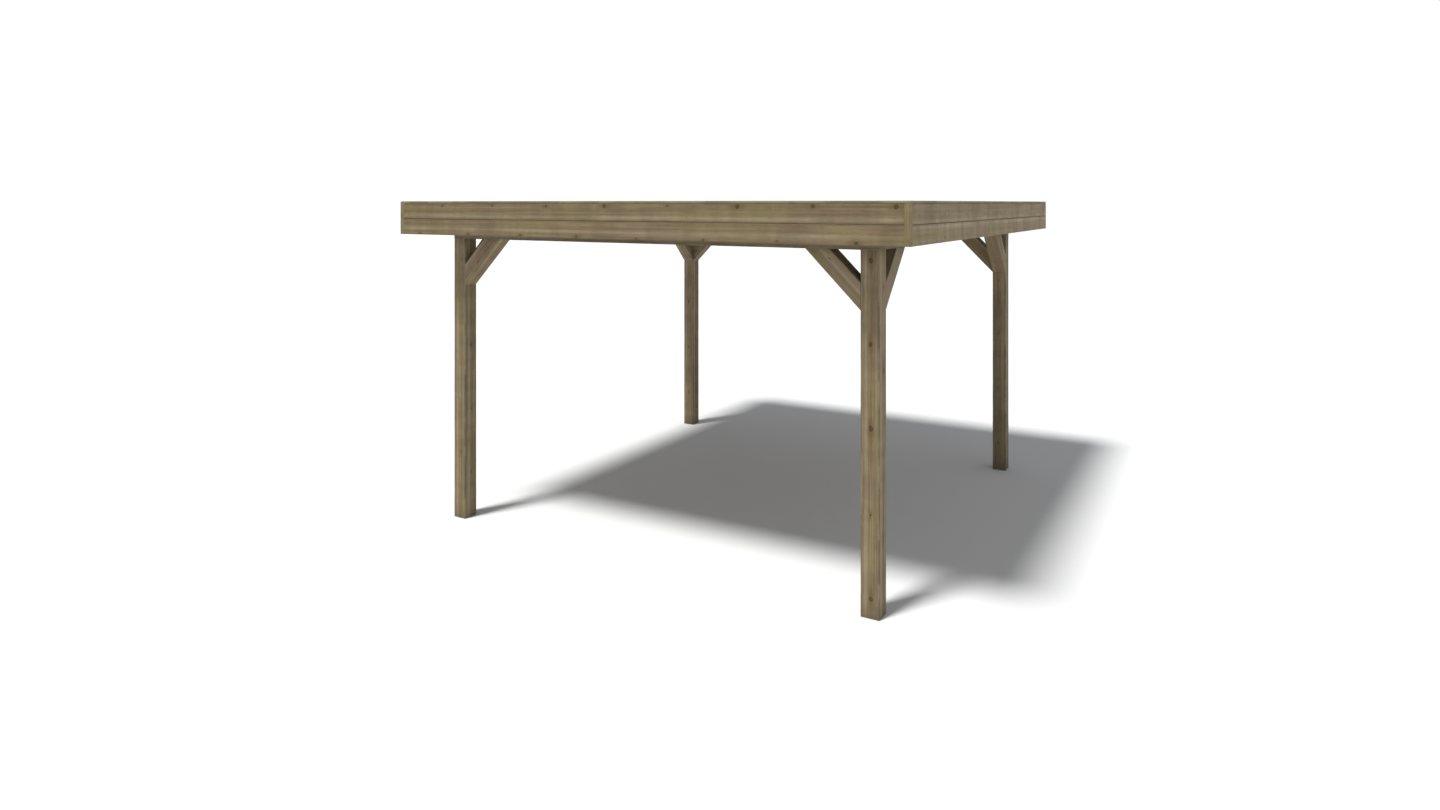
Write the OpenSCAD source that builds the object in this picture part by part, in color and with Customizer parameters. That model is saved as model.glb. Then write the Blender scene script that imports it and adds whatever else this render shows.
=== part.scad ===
// Square flat-roof gazebo: four posts, a braced ring beam, a joisted roof and a two-board fascia.
// The origin is on the ground at the middle of the plan. +Y points to the back, +X to the right.

/* [Roof outline] */
// Side of the square roof, from fascia face to fascia face
roof_side = 4100; // [3600:20:5000]
// Height of the roof's edge above the ground
roof_height = 2500; // [2080:10:3000]
// From the fascia face in to the outer face of the posts
overhang = 285; // [200:5:360]

/* [Posts and beams] */
// Side of the square posts
post_w = 120; // [90:1:150]
// Depth of the ring beams, which are as wide as the posts
beam_h = 120; // [90:5:160]

/* [Braces] */
// From the beam's underside down to the foot of a brace
brace_drop = 365; // [280:5:450]
// Depth of a brace, square to its length
brace_w = 120; // [70:5:150]
// Thickness of a brace, set flush with the outside of the posts
brace_t = 120; // [70:5:150]

/* [Roof frame] */
// Thickness of the rafters and lookouts
rafter_t = 45; // [35:1:60]
// Depth of the rafters and lookouts
rafter_h = 140; // [100:5:180]
// Rafters from centre to centre, and lookouts too
rafter_pitch = 590; // [450:2:720]
// Thickness of the rim joists behind the fascia
rim_t = 45; // [35:1:60]
// Depth of the rim joists
rim_h = 195; // [140:5:220]

/* [Roof covering] */
// Thickness of the boards that close the roof
deck_t = 18; // [12:1:30]
// Thickness of the waterproof sheet
membrane_t = 3; // [1:0.5:5]

/* [Fascia] */
// Height of one fascia board
fascia_h = 121; // [90:1:150]
// Thickness of the fascia boards
fascia_t = 28; // [18:1:40]
// Width of the corner battens, on the front and back
batten_w = 40; // [30:1:70]
// Thickness of the cap along the roof's edge
cap_t = 14; // [8:1:25]
// Width of the cap
cap_w = 80; // [60:1:120]

/* [Hidden] */

// Levels, from the roof's edge down to the top of the posts
cap_z = roof_height - cap_t;
deck_z = cap_z - membrane_t - deck_t;
rafter_z = deck_z - rafter_h;
beam_z = rafter_z - beam_h;
rim_z = deck_z - rim_h;

// Distances out from the middle of the plan
roof_out = roof_side / 2;
fascia_in = roof_out - fascia_t;
rim_in = fascia_in - rim_t;
ring_out = roof_out - overhang;
ring_in = ring_out - post_w;
post_at = ring_out - post_w / 2;

// Rafters on each side of the middle one
rafter_side = 2;
lookout_from = rafter_side * rafter_pitch + rafter_t / 2;

post_color = "#7a6f52";
frame_color = "#84775a";
fascia_color = "#7f7359";
cap_color = "#6e6554";
deck_color = "#a08c66";
membrane_color = "#33353a";

// A bar along X or Y whose box runs from corner a to corner b
module bar(a, b, tint) {
    color(tint) translate(a) cube(b - a);
}

// What is drawn for the front, turned to another side: 0 front, 90 right, 180 back, 270 left
module on_side(turn) {
    rotate([0, 0, turn]) children();
}

module post(side_x, side_y) {
    color(post_color)
        translate([side_x * post_at - post_w / 2, side_y * post_at - post_w / 2, 0])
            cube([post_w, post_w, beam_z]);
}

// A ring beam of the full length, half-lapped where it crosses its neighbours over the posts.
// The front and back beams keep their lower half at the laps, the side beams their upper half.
module ring_beam(keeps_lower) {
    lap_z = keeps_lower ? beam_z + beam_h / 2 : beam_z;
    color(frame_color) difference() {
        translate([-ring_out, -ring_out, beam_z]) cube([2 * ring_out, post_w, beam_h]);
        for (end = [-1, 1])
            translate([end * post_at - post_w / 2 - (end < 0 ? 1 : 0), -ring_out - 1, lap_z])
                cube([post_w + 1, post_w + 2, beam_h / 2]);
    }
}

// A brace at 45 degrees between a post and the beam, in the front's plane. end is -1 or 1.
module brace(end) {
    rise = brace_w * sqrt(2);
    color(frame_color)
        translate([end * ring_in, -ring_out + brace_t, beam_z])
            rotate([90, 0, 0])
                linear_extrude(brace_t)
                    polygon([
                        [0, -brace_drop],
                        [0, rise - brace_drop],
                        [end * (rise - brace_drop), 0],
                        [-end * brace_drop, 0]
                    ]);
}

module rafter(number) {
    x = (number - 1 - rafter_side) * rafter_pitch;
    bar([x - rafter_t / 2, -rim_in, rafter_z], [x + rafter_t / 2, rim_in, deck_z], frame_color);
}

// Short joists that carry the roof's side out over the ring beam, from the last rafter to the rim
module lookouts(side) {
    at_rafter_pitch = [for (i = [-rafter_side : rafter_side]) i * rafter_pitch];
    for (y = concat([-post_at], at_rafter_pitch, [post_at]))
        bar([side < 0 ? -rim_in : lookout_from, y - rafter_t / 2, rafter_z],
            [side < 0 ? -lookout_from : rim_in, y + rafter_t / 2, deck_z], frame_color);
}

// The rims at the front and back run the full length, and those at the sides fit between them
module rim(reach) {
    bar([-reach, -fascia_in, rim_z], [reach, -rim_in, deck_z], frame_color);
}

module roof_deck() {
    bar([-fascia_in, -fascia_in, deck_z], [fascia_in, fascia_in, deck_z + deck_t], deck_color);
}

module roof_membrane() {
    bar([-fascia_in, -fascia_in, cap_z - membrane_t], [fascia_in, fascia_in, cap_z], membrane_color);
}

// One fascia board. row is 0 for the upper board and 1 for the lower, reach its half length.
module fascia(row, reach) {
    top = cap_z - row * fascia_h;
    bar([-reach, -roof_out, top - fascia_h], [reach, -fascia_in, top], fascia_color);
}

// A batten that covers the ends of the front or back boards and of the side boards
module batten(side_x) {
    inner = roof_out - batten_w;
    bar([side_x < 0 ? -roof_out : inner, -roof_out, cap_z - 2 * fascia_h],
        [side_x < 0 ? -inner : roof_out, -fascia_in, cap_z], fascia_color);
}

// A flat strip on the fascia's top edge, mitred at both ends
module cap() {
    color(cap_color)
        translate([0, 0, cap_z])
            linear_extrude(cap_t)
                polygon([
                    [-roof_out, -roof_out],
                    [roof_out, -roof_out],
                    [roof_out - cap_w, cap_w - roof_out],
                    [cap_w - roof_out, cap_w - roof_out]
                ]);
}

front_reach = roof_out - batten_w;
side_reach = fascia_in;

post(-1, -1);  // post_front_left
post(1, -1);  // post_front_right
post(-1, 1);  // post_back_left
post(1, 1);  // post_back_right

ring_beam(true);  // beam_front
on_side(180) ring_beam(true);  // beam_back
on_side(270) ring_beam(false);  // beam_left
on_side(90) ring_beam(false);  // beam_right

brace(-1);  // brace_front_left
brace(1);  // brace_front_right
on_side(180) brace(1);  // brace_back_left
on_side(180) brace(-1);  // brace_back_right
on_side(270) brace(1);  // brace_left_front
on_side(270) brace(-1);  // brace_left_back
on_side(90) brace(-1);  // brace_right_front
on_side(90) brace(1);  // brace_right_back

rafter(1);  // rafter_1
rafter(2);  // rafter_2
rafter(3);  // rafter_3
rafter(4);  // rafter_4
rafter(5);  // rafter_5
lookouts(-1);  // lookouts_left
lookouts(1);  // lookouts_right

rim(fascia_in);  // rim_front
on_side(180) rim(fascia_in);  // rim_back
on_side(270) rim(rim_in);  // rim_left
on_side(90) rim(rim_in);  // rim_right

roof_deck();
roof_membrane();

fascia(0, front_reach);  // fascia_front_upper
fascia(1, front_reach);  // fascia_front_lower
on_side(180) fascia(0, front_reach);  // fascia_back_upper
on_side(180) fascia(1, front_reach);  // fascia_back_lower
on_side(270) fascia(0, side_reach);  // fascia_left_upper
on_side(270) fascia(1, side_reach);  // fascia_left_lower
on_side(90) fascia(0, side_reach);  // fascia_right_upper
on_side(90) fascia(1, side_reach);  // fascia_right_lower

batten(-1);  // batten_front_left
batten(1);  // batten_front_right
on_side(180) batten(1);  // batten_back_left
on_side(180) batten(-1);  // batten_back_right

cap();  // cap_front
on_side(180) cap();  // cap_back
on_side(270) cap();  // cap_left
on_side(90) cap();  // cap_right
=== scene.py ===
from math import pi, radians, sqrt

import bpy
import numpy as np
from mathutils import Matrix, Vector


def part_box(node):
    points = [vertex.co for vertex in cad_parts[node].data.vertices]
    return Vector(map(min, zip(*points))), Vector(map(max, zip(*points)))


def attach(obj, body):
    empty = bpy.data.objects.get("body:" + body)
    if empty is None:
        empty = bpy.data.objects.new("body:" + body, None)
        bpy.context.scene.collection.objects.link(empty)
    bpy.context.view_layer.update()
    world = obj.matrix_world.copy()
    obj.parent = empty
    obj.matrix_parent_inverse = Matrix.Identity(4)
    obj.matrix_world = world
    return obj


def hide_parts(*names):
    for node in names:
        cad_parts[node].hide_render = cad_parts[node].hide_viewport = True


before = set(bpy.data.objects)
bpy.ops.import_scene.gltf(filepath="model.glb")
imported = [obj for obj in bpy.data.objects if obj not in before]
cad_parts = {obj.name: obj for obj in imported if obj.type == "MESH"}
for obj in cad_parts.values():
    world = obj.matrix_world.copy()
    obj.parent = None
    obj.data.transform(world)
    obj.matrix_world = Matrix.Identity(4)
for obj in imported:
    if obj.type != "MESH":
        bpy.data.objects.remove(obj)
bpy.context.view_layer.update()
rng = np.random.default_rng(11)
print("frame loaded:", len(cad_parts), "nodes")


def feed(tree, sockets, values):
    # Links each named socket, or sets a plain number, vector or colour on it.
    for key, value in values.items():
        if isinstance(value, bpy.types.NodeSocket):
            tree.links.new(value, sockets[key])
        else:
            sockets[key].default_value = value


def add(tree, kind, inputs, output=0, **settings):
    # Adds one node, sets it up and returns the output asked for.
    made = tree.nodes.new("ShaderNode" + kind)
    for key, value in settings.items():
        setattr(made, key, value)
    feed(tree, made.inputs, inputs)
    return made.outputs[output]


def calc(tree, operation, *values, clamp=False):
    return add(tree, "Math", dict(enumerate(values)), operation=operation, use_clamp=clamp)


def times(tree, first, *others):
    # Multiplies its values, one after another.
    for other in others:
        first = calc(tree, "MULTIPLY", first, other)
    return first


def between(tree, value, low, high, toLow=0.0, toHigh=1.0):
    # A smooth step from toLow to toHigh while value goes from low to high.
    limits = {0: value, 1: low, 2: high, 3: toLow, 4: toHigh}
    return add(tree, "MapRange", limits, interpolation_type="SMOOTHSTEP")


def noise(tree, vector, stretch, detail=2.0, roughness=0.5, output=0):
    # Noise with its own number of bumps a metre along each of the three ways.
    scaled = add(tree, "VectorMath", {0: vector, 1: stretch}, operation="MULTIPLY")
    values = {"Vector": scaled, "Scale": 1.0, "Detail": detail, "Roughness": roughness}
    return add(tree, "TexNoise", values, output)


def lineNoise(tree, place, detail=1.0):
    # Noise along a line.
    return add(tree, "TexNoise", {"W": place, "Scale": 1.0, "Detail": detail}, noise_dimensions="1D")


def mixed(tree, amount, first, second, mode="MIX"):
    return add(tree, "Mix", {0: amount, 6: first, 7: second}, 2, data_type="RGBA", blend_type=mode)


def colour(red, green, blue):
    return (red, green, blue, 1.0)


def axes(tree, vector):
    # The X, Y and Z of a vector.
    return add(tree, "SeparateXYZ", {0: vector}).node.outputs


def newGroup(name, inputs, outputs):
    # An empty node group. Its sockets are plain numbers, apart from Grain, which is a place in a bar.
    tree = bpy.data.node_groups.new(name, "ShaderNodeTree")
    for way, labels in (("INPUT", inputs), ("OUTPUT", outputs)):
        for label in labels:
            kind = "NodeSocketVector" if label == "Grain" else "NodeSocketFloat"
            tree.interface.new_socket(name=label, in_out=way, socket_type=kind)
    entry = tree.nodes.new("NodeGroupInput")
    leaving = tree.nodes.new("NodeGroupOutput")
    return tree, entry.outputs, leaving.inputs


def use(tree, group, inputs):
    # Places a group in a tree and returns its outputs.
    return add(tree, "Group", inputs, node_tree=group).node.outputs


def newMaterial(name):
    # A new material, its tree and the sockets of its shader.
    material = bpy.data.materials.new(name)
    material.use_nodes = True
    return material, material.node_tree, material.node_tree.nodes["Principled BSDF"].inputs


def quarters(tree, angle):
    # Which quarter of the log an angle falls in, from 0 to 3, and the angle from the middle of that quarter.
    quarter = calc(tree, "ROUND", calc(tree, "DIVIDE", angle, pi / 2))
    local = calc(tree, "SUBTRACT", angle, times(tree, quarter, pi / 2))
    return calc(tree, "FLOORED_MODULO", quarter, 4.0), local


logPlace = ["Along", "Radius", "Angle"]


def trunkGroup():
    # From a place in a bar to its place in the log: the distance from the pith, which wanders as it goes
    # along, and the angle round it.
    tree, entry, leaving = newGroup("trunk", ["Grain", "Wander"], logPlace)
    parts = axes(tree, entry["Grain"])
    lengthwise = add(tree, "CombineXYZ", {"X": parts["X"]})
    drift = axes(tree, noise(tree, lengthwise, (0.9, 0.0, 0.0), detail=1.5, output=1))
    sides = []
    for side, share in (("Y", "X"), ("Z", "Y")):
        offset = times(tree, calc(tree, "SUBTRACT", drift[share], 0.5), entry["Wander"])
        sides.append(calc(tree, "ADD", parts[side], offset))
    squares = [times(tree, side, side) for side in sides]
    radius = calc(tree, "SQRT", calc(tree, "ADD", *squares))
    ripple = noise(tree, entry["Grain"], (2.2, 16.0, 16.0))
    ripple = times(tree, calc(tree, "SUBTRACT", ripple, 0.5), 0.006)
    feed(tree, leaving, {"Along": parts["X"], "Radius": calc(tree, "ADD", radius, ripple),
                         "Angle": calc(tree, "ARCTAN2", sides[1], sides[0])})
    return tree


def knotGroup():
    # Branches leave the pith in whorls, one whorl each pitch, four to a whorl at right angles. Distance is
    # from the branch's own middle, in branch sizes; Halo is the same, drawn out along the grain; Swell is
    # how far the rings bulge round it; Crack is a dry split through its middle, at an angle of its own.
    tree, entry, leaving = newGroup(
        "knots", logPlace + ["Pitch", "Size", "Squeeze", "Spiral", "Jitter", "Chance"],
        ["Distance", "Halo", "Swell", "Crack"])
    branch, localAngle = quarters(tree, entry["Angle"])
    across = times(tree, entry["Radius"], calc(tree, "SINE", localAngle))
    shift = times(tree, calc(tree, "SUBTRACT", branch, 1.0), entry["Spiral"])
    shifted = calc(tree, "ADD", entry["Along"], shift)
    whorl = calc(tree, "ROUND", calc(tree, "DIVIDE", shifted, entry["Pitch"]))
    place = calc(tree, "SUBTRACT", shifted, times(tree, whorl, entry["Pitch"]))
    key = add(tree, "CombineXYZ", {"X": whorl, "Y": branch, "Z": 0.37})
    draw = axes(tree, add(tree, "TexWhiteNoise", {"Vector": key}, 1, noise_dimensions="3D"))
    jitter = times(tree, calc(tree, "SUBTRACT", draw["X"], 0.5), entry["Jitter"], entry["Pitch"])
    place = calc(tree, "ADD", place, jitter)
    there = calc(tree, "LESS_THAN", draw["Y"], entry["Chance"])
    size = times(tree, entry["Size"], there, calc(tree, "MULTIPLY_ADD", draw["Z"], 0.9, 0.35),
                 between(tree, entry["Radius"], 0.0, 0.07, 0.35, 1.0))
    size = calc(tree, "MAXIMUM", size, 0.0004)
    squares = times(tree, across, across)
    distances = []
    for stretch in (1.0, 0.35):
        stretched = times(tree, place, entry["Squeeze"], stretch)
        reach = calc(tree, "SQRT", calc(tree, "MULTIPLY_ADD", stretched, stretched, squares))
        distances.append(calc(tree, "DIVIDE", reach, size))
    fade = calc(tree, "EXPONENT", times(tree, distances[0], distances[0], -0.16))
    turn = times(tree, draw["X"], 2 * pi)
    offLine = calc(tree, "MULTIPLY_ADD", across, calc(tree, "COSINE", turn),
                   times(tree, place, calc(tree, "SINE", turn)))
    crack = between(tree, calc(tree, "ABSOLUTE", offLine), 0.0009, 0.0004)
    crack = times(tree, crack, between(tree, distances[0], 0.95, 0.6))
    feed(tree, leaving, {"Distance": distances[0], "Halo": distances[1],
                         "Swell": times(tree, size, 1.5, fade), "Crack": crack})
    return tree


def ringGroup():
    # Growth rings: pale early wood that darkens smoothly into late wood and ends at a sharp line. Each
    # year's late wood has its own strength, and broad bands of years are darker than others.
    tree, entry, leaving = newGroup("rings", ["Radius", "Ring Width"], ["Late Wood", "Band"])
    count = calc(tree, "DIVIDE", entry["Radius"], entry["Ring Width"])
    count = calc(tree, "MULTIPLY_ADD", lineNoise(tree, times(tree, count, 0.6)), 1.6, count)
    year = calc(tree, "FLOOR", count)
    part = calc(tree, "SUBTRACT", count, year)
    season = add(tree, "TexWhiteNoise", {"W": year}, noise_dimensions="1D")
    late = times(tree, between(tree, part, 0.35, 0.92), between(tree, part, 0.92, 1.0, 1.0, 0.0),
                 calc(tree, "MULTIPLY_ADD", season, 0.6, 0.4))
    band = lineNoise(tree, times(tree, count, 0.31))
    feed(tree, leaving, {"Late Wood": late, "Band": between(tree, band, 0.35, 0.65)})
    return tree


def fibreGroup():
    # Streaks along the grain in five sizes: fine fibre, thin threads, finger-wide streaks, long soft
    # patches, and clouds as wide as a board. Each has its bumps a metre, its detail and its roughness.
    sizes = {
        "Fine": ((14.0, 620.0, 620.0), 3.0, 0.6),
        "Thread": ((2.6, 210.0, 210.0), 2.0, 0.6),
        "Streak": ((1.0, 62.0, 62.0), 3.0, 0.55),
        "Patch": ((2.3, 13.0, 13.0), 2.0, 0.5),
        "Cloud": ((7.0, 2.5, 2.5), 3.0, 0.6),
    }
    tree, entry, leaving = newGroup("fibre", ["Grain"], list(sizes))
    feed(tree, leaving, {name: noise(tree, entry["Grain"], *size) for name, size in sizes.items()})
    return tree


def checkGroup():
    # Drying cracks: at most one to a face. It lies at an angle round the pith that drifts slowly along the
    # bar, so it runs straight with the grain, and it opens and closes with a slow noise of its own.
    tree, entry, leaving = newGroup("checks", logPlace + ["Width"], ["Split"])
    face, local = quarters(tree, entry["Angle"])

    def slow(pace, shift, detail=1.0):
        start = calc(tree, "MULTIPLY_ADD", face, 17.3, shift)
        spot = calc(tree, "MULTIPLY_ADD", entry["Along"], pace, start)
        return calc(tree, "SUBTRACT", lineNoise(tree, spot, detail), 0.5)

    aside = calc(tree, "SUBTRACT", local, times(tree, slow(0.12, 3.0), 1.1))
    ragged = times(tree, slow(22.0, 9.0, 4.0), 0.004)
    aside = calc(tree, "ADD", times(tree, aside, entry["Radius"]), ragged)
    opening = calc(tree, "MULTIPLY", slow(1.3, 31.0, 2.0), 8.0, clamp=True)
    opening = calc(tree, "MAXIMUM", times(tree, opening, entry["Width"]), 0.00001)
    share = calc(tree, "DIVIDE", calc(tree, "ABSOLUTE", aside), opening)
    feed(tree, leaving, {"Split": between(tree, share, 1.2, 0.5)})
    return tree


trunk, knots, rings, fibre, checks = trunkGroup(), knotGroup(), ringGroup(), fibreGroup(), checkGroup()


def timberMaterial(name, look):
    # Planed and pressure-treated softwood. The colour is built up from the log outwards: rings, streaks,
    # the pale ribbon, knots, the piece's tone, which on a few pieces is painted light or shade, then the
    # arrises, with wear on most pieces and painted shade on the fascia boards, end grain and darker wood at
    # the foot.
    material, tree, shader = newMaterial(name)
    grain = add(tree, "Attribute", {}, 1, attribute_name="grain")
    tone, surface, growth = (axes(tree, add(tree, "Attribute", {}, 1, attribute_name=key))
                             for key in ("tone", "surface", "growth"))
    place = add(tree, "TexCoord", {}, 3)

    def tinted(base, amount, key):
        return mixed(tree, amount, base, look[key])

    def fadedIn(base, value, low, high, strength, key):
        return tinted(base, between(tree, value, low, high, 0.0, look[strength]), key)

    def darkened(base, factor):
        grey = add(tree, "CombineColor", {0: factor, 1: factor, 2: factor})
        return mixed(tree, 1.0, base, grey, "MULTIPLY")

    log = use(tree, trunk, {"Grain": grain, "Wander": look["wander"]})
    inLog = {key: log[key] for key in logPlace}
    knot = use(tree, knots, inLog | {
        "Pitch": look["knotPitch"], "Size": times(tree, growth["X"], look["knotSize"]),
        "Squeeze": look["knotSqueeze"], "Spiral": look["knotSpiral"], "Jitter": look["knotJitter"],
        "Chance": look["knotChance"]})
    swollen = calc(tree, "SUBTRACT", log["Radius"], knot["Swell"])
    ring = use(tree, rings, {"Radius": swollen, "Ring Width": times(tree, growth["Y"], look["ringWidth"])})
    streaks = use(tree, fibre, {"Grain": grain})

    late = calc(tree, "MAXIMUM", times(tree, ring["Late Wood"], look["ringContrast"]),
                times(tree, ring["Band"], look["bandContrast"]))
    shade = tinted(look["early"], late, "late")
    heart, sap = look["heartRadius"], look["sapRadius"]
    heart = between(tree, swollen, heart - 0.018, heart + 0.018, look["heartStrength"], 0.0)
    shade = tinted(shade, heart, "heartwood")
    shade = fadedIn(shade, swollen, sap - 0.004, sap + 0.004, "sapStrength", "sapwood")
    drift = calc(tree, "SUBTRACT", streaks["Patch"], 0.15)
    drift = calc(tree, "MULTIPLY_ADD", streaks["Thread"], 0.30, drift)
    shade = fadedIn(shade, drift, 0.43, 0.65, "hueDrift", "brown")
    shade = fadedIn(shade, drift, 0.51, 0.33, "hueDrift", "olive")
    shade = fadedIn(shade, streaks["Streak"], 0.5, 0.66, "streakContrast", "streak")
    shade = fadedIn(shade, streaks["Streak"], 0.47, 0.34, "streakContrast", "pale")
    off = calc(tree, "DIVIDE", surface["Z"], look["ribbonWidth"])
    ribbon = calc(tree, "EXPONENT", times(tree, off, off, -1.0))
    broken = noise(tree, grain, (2.1, 3.0, 3.0))
    broken = between(tree, broken, 0.34, 0.56, 0.3, look["ribbonStrength"])
    shade = tinted(shade, times(tree, ribbon, broken), "ribbon")
    soaked = calc(tree, "SUBTRACT", streaks["Cloud"], 0.20)
    soaked = calc(tree, "MULTIPLY_ADD", streaks["Thread"], 0.40, soaked)
    shade = darkened(shade, between(tree, soaked, 0.34, 0.66, 1.0 + look["clouds"], 1.0 - look["clouds"]))

    shade = fadedIn(shade, knot["Halo"], 2.6, 0.5, "haloStrength", "knotHalo")
    rough = noise(tree, grain, (45.0, 70.0, 70.0), 3.0, 0.6)
    distance = times(tree, knot["Distance"], between(tree, rough, 0.2, 0.8, 0.78, 1.22))
    branch = between(tree, distance, 1.15, 0.95)
    bark = times(tree, branch, between(tree, distance, 0.55, 0.95))
    eyes = calc(tree, "MAXIMUM", bark, between(tree, distance, 0.22, 0.05))
    years = calc(tree, "PINGPONG", times(tree, distance, 4.0), 1.0)
    eyes = calc(tree, "MAXIMUM", eyes, times(tree, years, 0.35))
    shade = mixed(tree, times(tree, branch, 0.93), shade, tinted(look["knotLight"], eyes, "knotDark"))
    split = use(tree, checks, inLog | {"Width": look["splitWidth"]})["Split"]
    split = calc(tree, "MAXIMUM", split, knot["Crack"])
    shade = tinted(shade, split, "splitShade")

    shade = darkened(shade, tone["X"])
    shade = tinted(shade, times(tree, tone["Y"], 0.6), "brown")
    shade = tinted(shade, times(tree, tone["Z"], 0.6), "grey")
    shade = darkened(shade, between(tree, streaks["Fine"], 0.3, 0.7, 0.87, 1.12))
    threads = look["threads"]
    shade = darkened(shade, between(tree, streaks["Thread"], 0.30, 0.60, 1.0 - threads, 1.0 + threads / 2))

    patchy = between(tree, noise(tree, place, (5.0, 5.0, 5.0), 3.0), 0.42, 0.58)
    edge = times(tree, surface["X"], times(tree, growth["Z"], look["edgeStrength"]))
    shade = mixed(tree, edge, shade, tinted(look["edgePale"], patchy, "edgeDark"))
    endShade = tinted(look["endPale"], times(tree, ring["Late Wood"], 0.7), "endDark")
    shade = mixed(tree, times(tree, surface["Y"], 0.85), shade, endShade)
    # Darker towards the floor, over the lowest 15 centimetres or so, with a ragged edge.
    ragged = noise(tree, place, (9.0, 9.0, 6.0), 3.0)
    ragged = calc(tree, "MULTIPLY_ADD", ragged, 0.12, axes(tree, place)["Z"])
    shade = fadedIn(shade, ragged, 0.20, 0.06, "footDarkStrength", "footDark")

    dull = between(tree, streaks["Fine"], 0.3, 0.7, look["roughness"] - 0.06, look["roughness"] + 0.08)
    relief = calc(tree, "MULTIPLY_ADD", ring["Late Wood"], 0.5, times(tree, streaks["Fine"], 0.6))
    relief = calc(tree, "ADD", relief, times(tree, branch, 0.5))
    relief = calc(tree, "SUBTRACT", relief, times(tree, split, 2.5))
    bump = add(tree, "Bump", {"Strength": 0.6, "Distance": look["relief"], "Height": relief})
    feed(tree, shader, {"Base Color": shade, "Normal": bump, "Specular IOR Level": look["specular"],
                        "Roughness": calc(tree, "SUBTRACT", dull, times(tree, branch, 0.15))})
    return material


treatedPine = {
    "early": colour(0.240, 0.194, 0.119),
    "late": colour(0.132, 0.098, 0.053),
    "heartwood": colour(0.156, 0.122, 0.068),
    "sapwood": colour(0.188, 0.166, 0.110),
    "brown": colour(0.190, 0.137, 0.088),
    "olive": colour(0.208, 0.177, 0.085),
    "streak": colour(0.138, 0.103, 0.058),
    "pale": colour(0.270, 0.224, 0.147),
    "ribbon": colour(0.300, 0.250, 0.170),
    "grey": colour(0.212, 0.178, 0.130),
    "knotHalo": colour(0.125, 0.086, 0.040),
    "knotDark": colour(0.034, 0.020, 0.007),
    "knotLight": colour(0.100, 0.064, 0.027),
    "splitShade": colour(0.045, 0.032, 0.018),
    "edgePale": colour(0.250, 0.212, 0.150),
    "edgeDark": colour(0.120, 0.108, 0.070),
    "endPale": colour(0.200, 0.158, 0.096),
    "endDark": colour(0.095, 0.068, 0.036),
    "footDark": colour(0.100, 0.086, 0.054),
    "ringWidth": 0.0042,   # metres from one ring to the next
    "ringContrast": 0.62,
    "bandContrast": 0.22,
    "heartRadius": 0.092,  # metres from the pith to the paler sapwood
    "heartStrength": 0.40,
    "sapRadius": 0.088,    # metres from the pith to the greener wood under the bark
    "sapStrength": 0.0,
    "hueDrift": 0.80,
    "streakContrast": 0.60,
    "ribbonWidth": 0.012,  # metres
    "ribbonStrength": 0.90,
    "clouds": 0.10,
    "wander": 0.030,
    "knotPitch": 0.508,    # metres from one whorl to the next
    "knotSize": 0.0108,
    "knotSqueeze": 0.8,    # below 1 the knots are longer than they are wide
    "knotSpiral": 0.17,
    "knotJitter": 0.25,
    "knotChance": 0.7,
    "haloStrength": 0.55,
    "edgeStrength": 0.55,
    "threads": 0.10,
    "splitWidth": 0.0,     # half the width of the widest crack, metres
    "footDarkStrength": 0.0,
    "roughness": 0.72,
    "specular": 0.14,
    "relief": 0.0006,
}

# Darker arrises on the fascia boards: painted shade in the joints, under the cap and at the board ends.
facing = treatedPine | {
    "ringContrast": 0.52, "streakContrast": 0.45, "knotJitter": 0.02, "knotChance": 1.0, "knotSqueeze": 1.1,
    "edgePale": colour(0.150, 0.118, 0.066), "edgeDark": colour(0.125, 0.098, 0.055), "edgeStrength": 0.45,
}

woods = {
    "post_timber": timberMaterial("postTimber", treatedPine | {
        "heartRadius": 0.076, "heartStrength": 0.5, "sapStrength": 0.9, "hueDrift": 0.5,
        "streakContrast": 0.65, "footDarkStrength": 0.4, "knotJitter": 0.03, "knotChance": 0.9,
        "edgeStrength": 0.6, "splitWidth": 0.0007}),
    "beam_timber": timberMaterial("beamTimber", treatedPine | {
        "heartRadius": 0.076, "streakContrast": 0.45, "splitWidth": 0.0006}),
    "joist_timber": timberMaterial("joistTimber", treatedPine | {"hueDrift": 0.35, "ringWidth": 0.0050}),
    "fascia_timber": timberMaterial("fasciaTimber", facing),
    "fascia_sides": timberMaterial("sideFasciaTimber", facing | {"clouds": 0.20, "edgeStrength": 0.25}),
    "cap_timber": timberMaterial("capTimber", treatedPine | {"knotSize": 0.006, "knotChance": 0.4}),
    "deck_boards": timberMaterial("deckBoards", treatedPine | {
        "early": colour(0.300, 0.235, 0.140), "knotChance": 0.8, "clouds": 0.04, "hueDrift": 0.5}),
}
print("timber materials ready:", len(woods))


def gridQuads(rows, columns, closed=True):
    # One quad between each pair of neighbouring rows and columns; closed joins the last column to the first.
    column = np.arange(columns if closed else columns - 1)
    following = (column + 1) % columns
    row = np.arange(rows - 1)[:, None] * columns
    return np.stack([row + column, row + following, row + columns + following, row + columns + column],
                    axis=-1).reshape(-1, 4)


def joinParts(parts):
    # Stacks the arrays of several parts into one, moving each part's face numbers past the points before it.
    starts = np.cumsum([0] + [len(part["points"]) for part in parts[:-1]])
    joined = {key: np.concatenate([part[key] for part in parts])
              for key in parts[0] if key not in ("quads", "caps")}
    joined["quads"] = np.concatenate([part["quads"] + start for part, start in zip(parts, starts)])
    joined["caps"] = [[corner + int(start) for corner in cap]
                      for part, start in zip(parts, starts) for cap in part["caps"]]
    return joined


def inScene(name, data):
    # A new object at the origin, in the scene.
    made = bpy.data.objects.new(name, data)
    bpy.context.scene.collection.objects.link(made)
    return made


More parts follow.
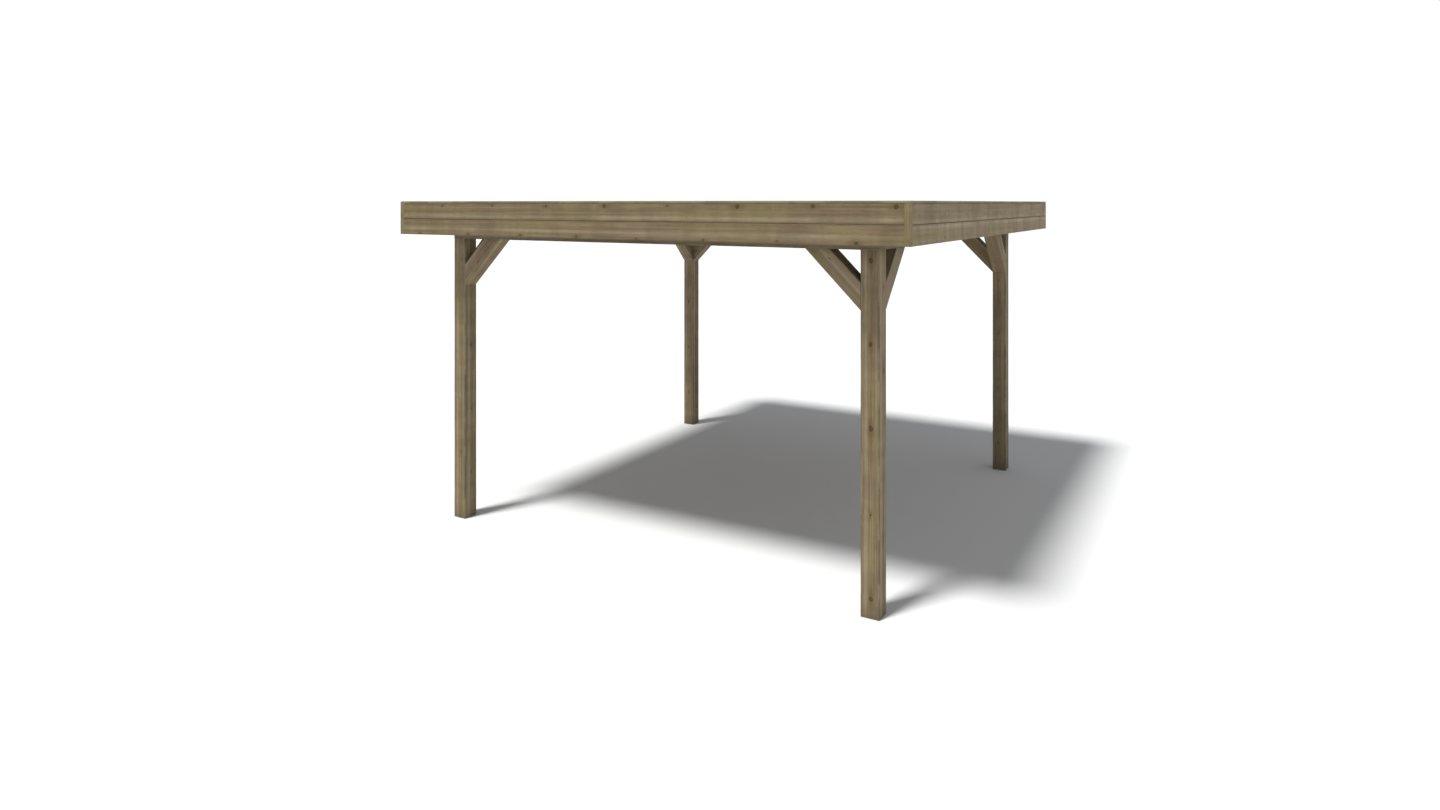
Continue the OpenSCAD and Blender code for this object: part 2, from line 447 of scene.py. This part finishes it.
def makePiece(name, part, material, nodes=(), sharpAngle=40):
    # Turns arrays into a mesh object at the origin, with its attributes, material and body.
    mesh = bpy.data.meshes.new(name)
    mesh.from_pydata(part["points"].tolist(), [], part["quads"].tolist() + part["caps"])
    for key in ("grain", "tone", "surface", "growth"):
        if key in part:
            layer = mesh.attributes.new(key, "FLOAT_VECTOR", "POINT")
            layer.data.foreach_set("vector", part[key].astype(np.float32).ravel())
    mesh.shade_smooth()
    mesh.set_sharp_from_angle(angle=radians(sharpAngle))
    mesh.materials.append(material)
    piece = inScene(name, mesh)
    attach(piece, "root")
    if nodes:
        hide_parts(*nodes)


def makeTimber(node, part, slot, ending="timber", finish=None):
    # The timber that replaces a CAD node, in the wood of its slot unless another finish is named.
    makePiece(node.replace("_", "-") + "-" + ending, part, woods[finish or slot], [node])


def boxOf(node):
    # The lowest and the highest corner of a CAD node.
    return np.array(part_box(node))


# The ways of the frame, and for each side of the gazebo, seen from outside, its way along and its way up
towards = dict(zip("xyz", np.eye(3)))
towards |= {"-" + name: -way for name, way in towards.items()}
sideWays = {"front": ("x", "z"), "right": ("y", "z"), "back": ("-x", "z"), "left": ("-y", "z")}

# Where rafters, lookouts and posts carry the roof, measured from its middle
rafters = ["rafter_%d" % number for number in range(1, 6)]
supports = sorted(boxOf(node).mean(axis=0)[0] for node in rafters + ["post_back_left", "post_back_right"])


def roundedLoop(arcSteps, width, depth, arris, rounding, support=0.009):
    # Once round a rectangle: four quarter circles joined by four flats of four points. Each point is a share
    # of the half sizes and a direction for the corner radius, so one loop fits any section along the bar.
    # rounding is each corner's share of that radius; on a flat, the last value keeps the points evenly
    # between its ends.
    signs = [(1, 1), (-1, 1), (-1, -1), (1, -1)]
    loop = []
    for quarter, (signU, signV) in enumerate(signs):
        angle = pi / 2 * (quarter + np.linspace(0, 1, arcSteps + 1))
        same = 0 * angle
        loop.append([signU + same, signV + same, np.cos(angle), np.sin(angle), rounding[quarter] + same])
        nextU, nextV = signs[(quarter + 1) % 4]
        here, after = rounding[quarter], rounding[(quarter + 1) % 4]
        half = (width if signU != nextU else depth) / 2 - arris
        near = max(1 - support / half, 0.3)
        share = np.array([near, near / 3, -near / 3, -near])
        flat = share * 0 + 1
        out = pi / 2 * (quarter + 1)
        loop.append([signU * (share if signU != nextU else flat),
                     signV * (share if signV != nextV else flat), np.cos(out) * flat, np.sin(out) * flat,
                     ((1 + share) * here - (1 - share) * after) / (2 * share)])
    return [np.concatenate(values).round(9) for values in zip(*loop)]


def waves(along, phases, lengths):
    # A value between 0 and 1 that wanders: the mean of a few sines of different wavelengths.
    total = sum(np.sin(2 * pi * along / length + phase) for length, phase in zip(lengths, phases))
    return 0.5 + 0.5 * total / len(lengths)


def timber(start, ways, size, wood, look, cuts=(0.0, 0.0), lap=None):
    # A straight bar from start. ways are its unit vectors along, across and out of its face; size is its
    # length, width and thickness. A cut slants an end by that many metres along for each metre across. lap
    # is the length of a half-lap at both ends and the half kept, 1 for the upper and -1 for the lower.
    length, width, depth = size
    endArris = look["endArris"]
    turn = np.radians([0, 30, 60, 90])
    endAlong = np.concatenate([[0], endArris * (1 - np.cos(turn))])
    endInset = np.concatenate([[endArris + 0.003], endArris * (1 - np.sin(turn))])
    middle = np.linspace(0, 1, max(int(length / look["step"]), 3) + 1)[1:-1]
    weight = np.concatenate([endAlong * 0, middle, endAlong * 0 + 1])
    along = weight * length + np.concatenate([endAlong, (1 - 2 * middle) * endArris, -endAlong[::-1]])
    inset = np.concatenate([endInset, middle * 0, endInset[::-1]])
    if lap:
        lapLength, keep = lap
        past = lapLength + 0.0002
        shoulders = np.array([lapLength, past, length - past, length - lapLength])
        whole = (along > lapLength) & (along < length - lapLength)
        whole = np.concatenate([whole, [False, True, True, False]])
        along, inset = np.concatenate([along, shoulders]), np.concatenate([inset, shoulders * 0])
        order = np.argsort(along, kind="stable")
        along, inset, whole = along[order], inset[order], whole[order]
        weight = along / length
    high = np.stack([width / 2 - inset, depth / 2 - inset], axis=1)
    low = -high
    if lap:
        middleGap = np.where(whole, width / 2, -0.0004) - inset
        if keep < 0:
            high[:, 0] = middleGap
        else:
            low[:, 0] = -middleGap
    radius = look["arris"] * (0.75 + 0.5 * waves(along, wood["phases"][:3], (0.83, 0.31, 0.14)))
    radius = np.minimum(radius, (high - low).min(axis=1) * 0.47)[:, None]
    half, centre = (high - low) / 2, (high + low) / 2

    loop = roundedLoop(look["arcSteps"], width, depth, look["arris"], look["rounding"])
    cornerU, cornerV, arcU, arcV, bend = loop
    radius = radius * bend
    onFlat = (np.abs(cornerU) < 1) | (np.abs(cornerV) < 1)
    wandering = waves(along[:, None] + 0.2 * arcU + 0.3 * arcV, wood["phases"][3:], (1.7, 0.62, 0.23))
    hollow = look["unevenness"] * onFlat * wandering
    across = centre[:, :1] + cornerU * (half[:, :1] - radius) + arcU * (radius - hollow)
    outward = centre[:, 1:] + cornerV * (half[:, 1:] - radius) + arcV * (radius - hollow)
    lengthwise = along[:, None] + across * ((1 - weight) * cuts[0] + weight * cuts[1])[:, None]

    grid = np.stack([lengthwise, across, outward], axis=-1).reshape(-1, 3)
    rows, columns = across.shape
    facesOut, facesAside = np.abs(arcV) > np.abs(arcU) + 0.1, np.abs(arcU) > np.abs(arcV) + 0.1
    ribbon = np.where(facesAside, outward - wood["paleAside"], 1.0)
    ribbon = np.where(facesOut, across - wood["pale"], ribbon)
    onEnd = np.repeat(inset >= endArris * 0.99, columns)
    # The arrises and end rims take the edge colours: wear on most pieces, painted shade on the fascia boards.
    onRim = ((inset > 0) & (inset <= endArris))[:, None] * look["endRimWearAndShade"]
    arrisWearAndShade = np.where((inset <= endArris)[:, None], np.maximum(onRim, ~onFlat), 0.0)
    return {
        "points": np.asarray(start, float) + grid @ np.asarray(ways, float),
        "quads": gridQuads(rows, columns),
        "caps": [list(range(columns))[::-1], list(range((rows - 1) * columns, rows * columns))],
        "grain": grid - np.array([wood["firstKnot"], wood["pithAcross"], depth / 2 - wood["pithBehind"]]),
        "tone": np.tile(np.asarray(wood["tone"], float), (rows * columns, 1)),
        "surface": np.stack([arrisWearAndShade.ravel(), onEnd, ribbon.ravel()], axis=1),
        "growth": np.tile(np.asarray([wood["knots"], wood["rings"], wood["edges"]]), (rows * columns, 1)),
    }


def barIn(low, high, alongName, acrossName, wood, look, lap=None):
    # A timber that fills a box, less the look's gap on each side of its width and at its ends.
    alongWay, acrossWay = towards[alongName], towards[acrossName]
    ways = np.array([alongWay, acrossWay, np.cross(alongWay, acrossWay)])
    low, high = np.asarray(low, float), np.asarray(high, float)
    length, width, depth = np.abs(ways @ (high - low))
    length, width = length - 2 * look["endGap"], width - 2 * look["gap"]
    start = (low + high) / 2 - alongWay * length / 2
    return timber(start, ways, (length, width, depth), wood, look, lap=lap)


def cutFrom(width, depth, boxed=False, **chosen):
    # Where in its log a piece was sawn, and its colour. Boxed timber has the pith inside, boards have it
    # behind their face. Anything given for a piece replaces what is drawn.
    # pale and paleAside place the pale ribbon on the wide faces and on the narrow ones.
    wood = {
        "firstKnot": rng.uniform(-40, 40),
        "pithAcross": rng.uniform(-0.3, 0.3) * width,
        "pithBehind": depth * rng.uniform(0.4, 0.65) if boxed else depth + rng.uniform(0.03, 0.09),
        "pale": rng.uniform(-0.4, 0.4) * width,
        "paleAside": 0.3 * depth,
        "tone": (rng.uniform(0.93, 1.07), rng.uniform(0.0, 0.25), rng.uniform(0.0, 0.25)),
        "knots": rng.uniform(0.5, 1.1),
        "rings": rng.uniform(0.8, 1.3),
        "edges": 1.0,
        "phases": rng.uniform(0, 2 * pi, 6),
    }
    return wood | chosen


planed = {
    "arris": 0.0050,           # radius of the rounded long edges, metres
    "rounding": (1, 1, 1, 1),  # each long edge's share of the arris
    "endArris": 0.002,
    "endRimWearAndShade": 1.0,
    "arcSteps": 4,
    "step": 0.09,              # metres from one row of points to the next
    "unevenness": 0.0005,
    "gap": 0.0,
    "endGap": 0.0,
}


def buildPosts():
    # The knots of the front posts start at a chosen height and come one every pitch. Whole pitches added
    # to firstKnot leave them there but draw other sizes: a search over 300 such shifts gave both values.
    chosen = {
        "post_front_left": {
            "firstKnot": 40.652, "pithAcross": -0.012, "pale": 0.022, "paleAside": 0.021, "knots": 0.6,
            "tone": (1.035, 0.1, 0.0)},
        "post_front_right": {
            "firstKnot": -68.972, "pithAcross": -0.006, "pale": 0.028, "paleAside": 0.031, "knots": 1.05,
            "tone": (1.02, 0.1, 0.0)},
        "post_back_left": {
            "firstKnot": 0.36, "pithAcross": 0.0, "pale": 0.03, "knots": 0.8, "tone": (1.10, 0.1, 0.1)},
        # The back right post's low tone of 0.85 is painted shade, for its place deep under the roof.
        "post_back_right": {
            "firstKnot": 0.25, "pithAcross": 0.01, "pale": -0.03, "knots": 0.6, "tone": (0.85, 0.15, 0.0)},
    }
    for node, choices in chosen.items():
        low, high = boxOf(node)
        width = high[0] - low[0]
        wood = cutFrom(width, width, boxed=True, pithBehind=0.066, **choices)
        makeTimber(node, barIn(low, high, "z", "-x", wood, planed), "post_timber")


def buildBeams():
    # Half-lapped over the posts. The front and back beams keep the lower half.
    postLow, postHigh = boxOf("post_front_left")
    for side, (along, across) in sideWays.items():
        low, high = boxOf("beam_" + side)
        width = high[2] - low[2]
        # The front beam's tone of 0.70 is painted shade, for its strip in the dark under the fascia.
        wood = cutFrom(width, width, boxed=True, tone=(0.70 if side == "front" else 1.0, 0.2, 0.0))
        lap = (postHigh[0] - postLow[0], -1 if side in ("front", "back") else 1)
        part = barIn(low, high, along, across, wood, planed | {"arris": 0.003}, lap)
        makeTimber("beam_" + side, part, "beam_timber")


braceNames = [plane + "_" + post for plane in ("front", "back", "left", "right")
              for post in (("left", "right") if plane in ("front", "back") else ("front", "back"))]


def braceLine(name):
    # The lower edge of a brace: its foot at the post, its unit ways along and across, its length and depth.
    low, high = boxOf("brace_" + name)
    level = towards[{"left": "x", "right": "-x", "front": "y", "back": "-y"}[name.split("_")[1]]]
    up = towards["z"]
    foot = np.where(level > 0, low, np.where(level < 0, high, (low + high) / 2))
    foot[2] = low[2]
    depth = np.abs(np.cross(level, up)) @ (high - low)
    return foot, (level + up) / sqrt(2), (up - level) / sqrt(2), (high[2] - low[2]) * sqrt(2), depth


def buildBraces():
    # A brace rises at 45 degrees from the post, so both its ends are cut at 45 degrees to its length.
    brace = planed | {"width": 0.120, "step": 0.05}
    usual = {"tone": (1.12, 0.2, 0.0), "pale": 0.052}
    chosen = {
        "front_right": {"pale": 0.012},
        "back_left": {"tone": (1.28, 0.0, 0.5)},
        "left_back": {"tone": (1.16, 0.0, 0.5)},
        # right_front's lighter, greyer tone is painted light: the cooler light falling from the right side.
        "right_front": {"tone": (1.22, 0.0, 0.8)},
        "right_back": {"tone": (1.09, 0.2, 0.0), "pale": 0.030},
    }
    width = brace["width"]
    for name in braceNames:
        foot, along, across, length, depth = braceLine(name)
        start = foot + (along + across) * width / 2
        wood = cutFrom(width, depth, boxed=True, **usual | chosen.get(name, {}))
        part = timber(start, [along, across, np.cross(along, across)], (length - width, width, depth),
                      wood, brace, cuts=(1.0, -1.0))
        makeTimber("brace_" + name, part, "beam_timber")


def buildJoists():
    # Rafters from front to back, short lookouts to both sides and rims behind the fascia, in one thickness.
    joist = planed | {"arris": 0.0035, "step": 0.12}
    for node in rafters:
        low, high = boxOf(node)
        thickness = high[0] - low[0]
        wood = cutFrom(high[2] - low[2], thickness)
        makeTimber(node, barIn(low, high, "y", "z", wood, joist), "joist_timber")
    for side in ("left", "right"):
        low, high = boxOf("lookouts_" + side)
        parts = []
        for middle in supports:
            wood = cutFrom(high[2] - low[2], thickness)
            parts.append(barIn((low[0], middle - thickness / 2, low[2]),
                               (high[0], middle + thickness / 2, high[2]), "x", "z", wood, joist))
        makeTimber("lookouts_" + side, joinParts(parts), "joist_timber")
    for side, (along, across) in sideWays.items():
        low, high = boxOf("rim_" + side)
        wood = cutFrom(high[2] - low[2], thickness)
        makeTimber("rim_" + side, barIn(low, high, along, across, wood, joist), "joist_timber")


def buildFascia():
    # Two boards a side, one over the other, with eased edges and painted shade on their arrises that leave a
    # dark line where they meet, and a batten at each end of the front and of the back. The search for knot
    # sizes also gave the firstKnot of the two front boards.
    board = planed | {"thickness": 0.028, "arris": 0.0040, "endArris": 0.0008, "endRimWearAndShade": 0.3, "gap": 0.0006,
                      "endGap": 0.0002, "step": 0.08}
    batten = board | {"arris": 0.002, "gap": 0.0002}
    battenTones = {"left": (0.95, 0.0, 0.5), "right": (1.12, 0.0, 0.1)}
    chosen = {
        "front_upper": {
            "firstKnot": -67.142, "pithAcross": 0.0415, "pithBehind": 0.070, "pale": -0.036, "knots": 1.2,
            "rings": 1.0, "tone": (0.94, 0.05, 0.0)},
        "front_lower": {
            "firstKnot": 0.691, "pithAcross": -0.049, "pithBehind": 0.070, "pale": -0.013, "knots": 1.15,
            "rings": 1.1, "tone": (0.95, 0.05, 0.0)},
        # The right boards' lighter, greyer tones are painted light: the cooler light falling from the right
        # side.
        "right_upper": {
            "firstKnot": 0.13, "pithAcross": -0.01, "pithBehind": 0.075, "pale": -0.047, "knots": 0.7,
            "tone": (1.085, 0.2, 0.45)},
        "right_lower": {"pale": 0.042, "knots": 0.5, "tone": (1.22, 0.15, 0.4)},
    }
    for side, (along, across) in sideWays.items():
        finish = "fascia_timber" if side in ("front", "back") else "fascia_sides"
        for row in ("upper", "lower"):
            name = side + "_" + row
            low, high = boxOf("fascia_" + name)
            wood = cutFrom(high[2] - low[2], board["thickness"], **chosen.get(name, {}))
            part = barIn(low, high, along, across, wood, board)
            makeTimber("fascia_" + name, part, "fascia_timber", "board", finish)
    for side, across in (("front", "-x"), ("back", "x")):
        for end, tone in battenTones.items():
            node = "batten_" + side + "_" + end
            low, high = boxOf(node)
            wood = cutFrom(high[0] - low[0], high[1] - low[1], tone=tone, pale=0.1, paleAside=0.1, edges=0.2)
            makeTimber(node, barIn(low, high, "z", across, wood, batten), "fascia_timber")


def buildCaps():
    # A thin flat strip round the top, mitred: each end is cut back by its whole width.
    strip = planed | {"arris": 0.0062, "rounding": (0.5, 1.7, 0.3, 0.3), "endArris": 0.0008, "step": 0.10,
                      "unevenness": 0.0003}
    for side, (along, up) in sideWays.items():
        low, high = boxOf("cap_" + side)
        alongWay, upWay = towards[along], towards[up]
        ways = np.array([alongWay, np.cross(upWay, alongWay), upWay])
        length, width, depth = np.abs(ways @ (high - low))
        wood = cutFrom(width, depth, pithBehind=0.09, tone=(0.94, 0.0, 0.8))
        start = (low + high) / 2 - alongWay * (length - width) / 2
        part = timber(start, ways, (length - width, width, depth), wood, strip, cuts=(1.0, -1.0))
        makeTimber("cap_" + side, part, "cap_timber", "strip")


def buildDeck():
    # Boards side by side from front to back, each with a small chamfered joint to the next.
    boards = planed | {"count": 36, "arris": 0.0035, "step": 0.25, "gap": 0.0004, "arcSteps": 2}
    low, high = boxOf("roof_deck")
    edges = np.linspace(low[1], high[1], boards["count"] + 1)
    parts = []
    for front, back in zip(edges[:-1], edges[1:]):
        wood = cutFrom(back - front, high[2] - low[2])
        parts.append(barIn((low[0], front, low[2]), (high[0], back, high[2]), "x", "-y", wood, boards))
    makePiece("roof-boards", joinParts(parts), woods["deck_boards"], ["roof_deck"])


def rubberMaterial():
    # Matt roofing rubber: nearly black, with a film of pale dust that has dried in patches with soft tide
    # lines.
    rubber = {
        "clean": colour(0.0115, 0.0118, 0.0125),
        "dust": colour(0.034, 0.032, 0.029),
        "tide": colour(0.055, 0.052, 0.047),
        "smoothest": 0.50,  # the clean rubber's roughness, from its least to its most
        "roughest": 0.58,
        "specular": 0.45,
        "grit": 0.00025,
    }
    material, tree, shader = newMaterial("roofRubber")
    place = add(tree, "TexCoord", {}, 3)
    pools = noise(tree, place, (1.1, 1.1, 1.1), 3.0, 0.55)
    film = noise(tree, place, (4.0, 4.0, 4.0), 6.0, 0.7)
    grain = noise(tree, place, (900.0, 900.0, 900.0))
    tide = calc(tree, "PINGPONG", times(tree, pools, 9.0), 1.0)
    tide = times(tree, between(tree, tide, 0.86, 1.0), between(tree, film, 0.42, 0.62))
    dusty = times(tree, between(tree, pools, 0.35, 0.62, 0.15, 0.8), between(tree, film, 0.30, 0.70))
    shade = mixed(tree, dusty, rubber["clean"], rubber["dust"])
    shade = mixed(tree, times(tree, tide, 0.3), shade, rubber["tide"])
    rough = between(tree, grain, 0.3, 0.7, rubber["smoothest"], rubber["roughest"])
    relief = calc(tree, "MULTIPLY_ADD", film, 0.5, grain)
    bump = add(tree, "Bump", {"Strength": 0.5, "Distance": rubber["grit"], "Height": relief})
    feed(tree, shader, {"Base Color": shade, "Normal": bump, "Specular IOR Level": rubber["specular"],
                        "Roughness": calc(tree, "MULTIPLY_ADD", dusty, 0.25, rough)})
    return material


def buildMembrane():
    # One loose sheet of rubber: a grid whose height is the sheet's own, plus long low waves, plus the
    # creases it keeps from being folded, all of which die away before the cap strips. A flat back closes it.
    sheet = {"points": 201, "flatMargin": 0.085, "calmed": 0.30, "wave": 0.0032, "crease": 0.0042,
             "creaseWidth": 0.024, "foldEvery": 0.83}
    low, high = boxOf("roof_membrane")
    count = sheet["points"]
    x, y = np.meshgrid(np.linspace(low[0], high[0], count), np.linspace(low[1], high[1], count))
    inwards = high[0] - np.maximum(np.abs(x), np.abs(y)) - sheet["flatMargin"]
    free = np.clip(inwards / sheet["calmed"], 0, 1)
    free = free * free * (3 - 2 * free)
    bends = rng.uniform(0, 2 * pi, 6)
    rolling = (np.sin(4.1 * x + 1.3 * y + bends[0]) + np.sin(2.3 * x - 3.7 * y + bends[1])
               + np.sin(7.9 * y + 2.0 * np.sin(1.9 * x + bends[2]))
               + np.sin(8.3 * x + 1.7 * np.sin(2.3 * y + bends[3])))
    folds = 0
    for across, along, bend in ((x, y, bends[4]), (y, x, bends[5])):
        wandering = across + 0.012 * np.sin(2.1 * along + bend)
        off = wandering - sheet["foldEvery"] * np.round(wandering / sheet["foldEvery"])
        strength = 0.6 + 0.4 * np.sin(3.1 * along + 2 * bend)
        folds = folds + np.exp(-(off / sheet["creaseWidth"]) ** 2) * strength
    lift = free * (sheet["wave"] * (1 + rolling / 4) + sheet["crease"] * folds)
    top = np.stack([x, y, high[2] + lift], axis=-1).reshape(-1, 3)
    number = np.arange(count * count).reshape(count, count)
    edge = np.concatenate([number[0, :-1], number[:-1, -1], number[-1, :0:-1], number[:0:-1, 0]])
    back = top[edge] * [1, 1, 0] + [0, 0, low[2]]
    under = len(top) + np.arange(len(edge))
    sides = np.stack([under, np.roll(under, -1), np.roll(edge, -1), edge], axis=1)
    part = {
        "points": np.concatenate([top, back]),
        "quads": np.concatenate([gridQuads(count, count, closed=False), sides]),
        "caps": [list(map(int, under[::-1]))],
    }
    makePiece("roof-rubber-sheet", part, rubberMaterial(), ["roof_membrane"], sharpAngle=60)


def screwMaterial():
    # Coated steel: a dull olive-brown paint, rubbed to grey metal in spots.
    screw = {"coat": colour(0.075, 0.062, 0.036), "metal": colour(0.32, 0.31, 0.28), "roughness": 0.45,
             "specular": 0.3}
    material, tree, shader = newMaterial("coatedScrew")
    spots = noise(tree, add(tree, "TexCoord", {}, 3), (420.0, 420.0, 420.0), 3.0, 0.6)
    rubbed = between(tree, spots, 0.56, 0.64, 0.0, 0.7)
    shade = mixed(tree, rubbed, screw["coat"], screw["metal"])
    feed(tree, shader, {"Base Color": shade, "Metallic": rubbed, "Specular IOR Level": screw["specular"],
                        "Roughness": calc(tree, "MULTIPLY_ADD", rubbed, -0.1, screw["roughness"])})
    return material


def screwHeads(places, outward):
    # Countersunk heads, each a low dome with a six-lobed socket: rings from the floor of the socket, over
    # the dome and down into the timber, twelve points to a ring. outward is the way the screws face; the
    # rings turn clockwise as seen from there, so that the faces point outwards.
    screw = {"radius": 0.0042, "socket": 0.0017, "lobes": 0.22, "proud": 0.0005, "deep": 0.0016}
    radius = np.array([screw["socket"] * 0.6, screw["socket"], screw["radius"] * 0.86, screw["radius"],
                       screw["radius"] * 0.5])
    height = np.array([-screw["deep"], 0.0, -0.0001, -screw["proud"], -0.003])
    lobed = np.array([1, 1, 0, 0, 0]) * screw["lobes"]
    angle = -2 * pi * np.arange(12) / 12
    reach = radius[:, None] * (1 + lobed[:, None] * np.where(np.arange(12) % 2, -1.0, 0.4))
    aside = np.cross(outward, towards["z"] if abs(outward[2]) < 0.5 else towards["y"])
    aside = aside / np.linalg.norm(aside)
    upward = np.cross(outward, aside)
    ring = (reach * np.cos(angle))[..., None] * aside + (reach * np.sin(angle))[..., None] * upward
    head = (ring + height[:, None, None] * outward).reshape(-1, 3)
    closing = [list(range(12))[::-1], list(range(len(head) - 12, len(head)))]
    faces = {"quads": gridQuads(len(radius), 12), "caps": closing}
    return joinParts([faces | {"points": place + head} for place in places])


def buildScrews():
    # Two screws to a board at every support, three down each corner batten, one a support along the cap
    # strips, and two at each end of every brace, driven up from below.
    fixing = {"boardInset": 0.030, "endInset": 0.055, "flush": 0.0002, "braceSpread": 0.028,
              "braceEnd": 0.060, "battenShares": (0.14, 0.5, 0.86)}
    steel = screwMaterial()
    for side, (along, up) in sideWays.items():
        alongWay, upWay = towards[along], towards[up]
        outward = np.cross(alongWay, upWay)
        places = []
        for row in ("upper", "lower"):
            low, high = boxOf("fascia_" + side + "_" + row)
            face = np.abs(outward) @ np.maximum(np.abs(low), np.abs(high)) - fixing["flush"]
            reach = np.abs(alongWay) @ (high - low) / 2 - fixing["endInset"]
            spread = (high[2] - low[2]) / 2 - fixing["boardInset"]
            for level in (-spread, spread):
                for stop in [-reach] + supports + [reach]:
                    jitter = rng.uniform(-0.004, 0.004, 2)
                    places.append(outward * face + alongWay * (stop + jitter[0])
                                  + upWay * ((high[2] + low[2]) / 2 + level + jitter[1]))
        makePiece("fascia-screws-" + side, screwHeads(places, outward), steel)
        low, high = boxOf("cap_" + side)
        middle = outward * (np.abs(outward) @ np.abs(low + high) / 2)
        places = [middle + alongWay * (stop + rng.uniform(-0.01, 0.01)) + upWay * (high[2] - fixing["flush"])
                  for stop in supports]
        makePiece("cap-screws-" + side, screwHeads(places, upWay), steel)
    for side, outward in (("front", towards["-y"]), ("back", towards["y"])):
        places = []
        for end in ("left", "right"):
            low, high = boxOf("batten_" + side + "_" + end)
            middle = (low[0] + high[0]) / 2
            face = outward[1] * (max(abs(low[1]), abs(high[1])) - fixing["flush"])
            for share in fixing["battenShares"]:
                places.append([middle, face, low[2] + share * (high[2] - low[2])])
        makePiece("batten-screws-" + side, screwHeads(places, outward), steel)
    for name in braceNames:
        foot, along, across, length = braceLine(name)[:4]
        aside = np.cross(along, across)
        places = [foot + along * stop + aside * offset + across * fixing["flush"]
                  for stop in (fixing["braceEnd"], length - fixing["braceEnd"])
                  for offset in (-fixing["braceSpread"], fixing["braceSpread"])]
        makePiece("brace-screws-" + name.replace("_", "-"), screwHeads(places, -across), steel)


buildPosts()
buildBeams()
buildBraces()
buildJoists()
buildFascia()
buildCaps()
buildDeck()
buildMembrane()
buildScrews()


def looking(tree):
    # 1 for what looks at a surface, straight, by reflection or through glass, and 0 for light on its way.
    rays = tree.nodes.new("ShaderNodeLightPath").outputs
    return calc(tree, "MAXIMUM", calc(tree, "MAXIMUM", rays["Is Camera Ray"], rays["Is Glossy Ray"]),
                rays["Is Transmission Ray"])


def buildFloor():
    # A wide pale floor. What looks at it sees a level at which its lit part meets the white background, and
    # its shadow stays. A lamp for the floor alone, beside the sun, makes that shadow as deep as it is under a
    # clear sky.
    studio = {
        "side": 120.0,
        "bounce": colour(0.66, 0.66, 0.66),
        "seen": colour(0.633, 0.644, 0.668),
        "lift": 0.0150,  # a little light in the depth of the shadow
    }
    half = studio["side"] / 2
    corners = [(-half, -half, 0), (half, -half, 0), (half, half, 0), (-half, half, 0)]
    mesh = bpy.data.meshes.new("floor")
    mesh.from_pydata(corners, [], [(0, 1, 2, 3)])
    floor = inScene("floor", mesh)
    material, tree = newMaterial("paleFloor")[:2]
    tree.nodes.remove(tree.nodes["Principled BSDF"])
    seen = looking(tree)
    diffuse = add(tree, "BsdfDiffuse", {"Color": mixed(tree, seen, studio["bounce"], studio["seen"])})
    glow = add(tree, "Emission", {"Strength": times(tree, seen, studio["lift"])})
    both = add(tree, "AddShader", {0: diffuse, 1: glow})
    feed(tree, tree.nodes["Material Output"].inputs, {"Surface": both})
    mesh.materials.append(material)
    return floor


def buildWorld():
    # Plain pale light from all round, more of it near the horizon, and a cooler, stronger part from the
    # right. It is white where it is seen.
    sky = {"level": 0.292, "horizon": 0.364, "right": 0.275, "rightTint": colour(0.94, 1.00, 1.05)}
    white = colour(1.0, 1.0, 1.0)
    world = bpy.data.worlds.new("studio")
    bpy.context.scene.world = world
    world.use_nodes = True
    tree = world.node_tree
    seen = looking(tree)
    direction = axes(tree, add(tree, "TexCoord", {}))
    low = calc(tree, "POWER", calc(tree, "SUBTRACT", 1.0, direction["Z"], clamp=True), 3.0)
    level = calc(tree, "MULTIPLY_ADD", low, sky["horizon"], sky["level"])
    right = calc(tree, "MULTIPLY", direction["X"], sky["right"], clamp=True)
    total = calc(tree, "ADD", level, right)
    tint = mixed(tree, calc(tree, "DIVIDE", right, total), white, sky["rightTint"])
    strength = calc(tree, "ADD", times(tree, total, calc(tree, "SUBTRACT", 1.0, seen)), seen)
    feed(tree, tree.nodes["Background"].inputs,
         {"Color": mixed(tree, seen, tint, white), "Strength": strength})


def buildSun(floor):
    # Soft sunlight from high in front and a little from the left. drift is how far it moves for each metre
    # it falls. Each lamp has its power and its tint.
    sun = {"drift": (0.19, 0.465), "softness": 11.0, "sun": (2.32, (1.06, 1.0, 0.86)),
           "floorSun": (2.15, (0.975, 1.0, 1.067))}
    east, north = sun["drift"]
    for name in ("sun", "floorSun"):
        lamp = bpy.data.lights.new(name, "SUN")
        lamp.energy, lamp.color = sun[name]
        lamp.angle = radians(sun["softness"])
        holder = inScene(name, lamp)
        holder.rotation_euler = (np.arctan2(np.hypot(east, north), 1.0), 0, np.arctan2(-east, north))
    lit = bpy.data.collections.new("floorOnly")
    lit.objects.link(floor)
    bpy.data.objects["floorSun"].light_linking.receiver_collection = lit


def buildCamera():
    # Level, at the height of the roof's edge, with the frame shifted down to take in the feet.
    view = {"place": (3.573, -6.794, 2.488), "turn": 29.991, "lens": 22.120, "shift": -0.1404}
    lens = bpy.data.cameras.new("camera")
    lens.sensor_width = 36.0
    lens.lens = view["lens"]
    lens.shift_y = view["shift"]
    lens.clip_end = 500.0
    camera = inScene("camera", lens)
    camera.location = view["place"]
    camera.rotation_euler = (pi / 2, 0, radians(view["turn"]))
    bpy.context.scene.camera = camera


floor = buildFloor()
buildWorld()
buildSun(floor)
buildCamera()
bpy.context.scene.view_settings.view_transform = "Standard"
print("floor, light and camera ready")
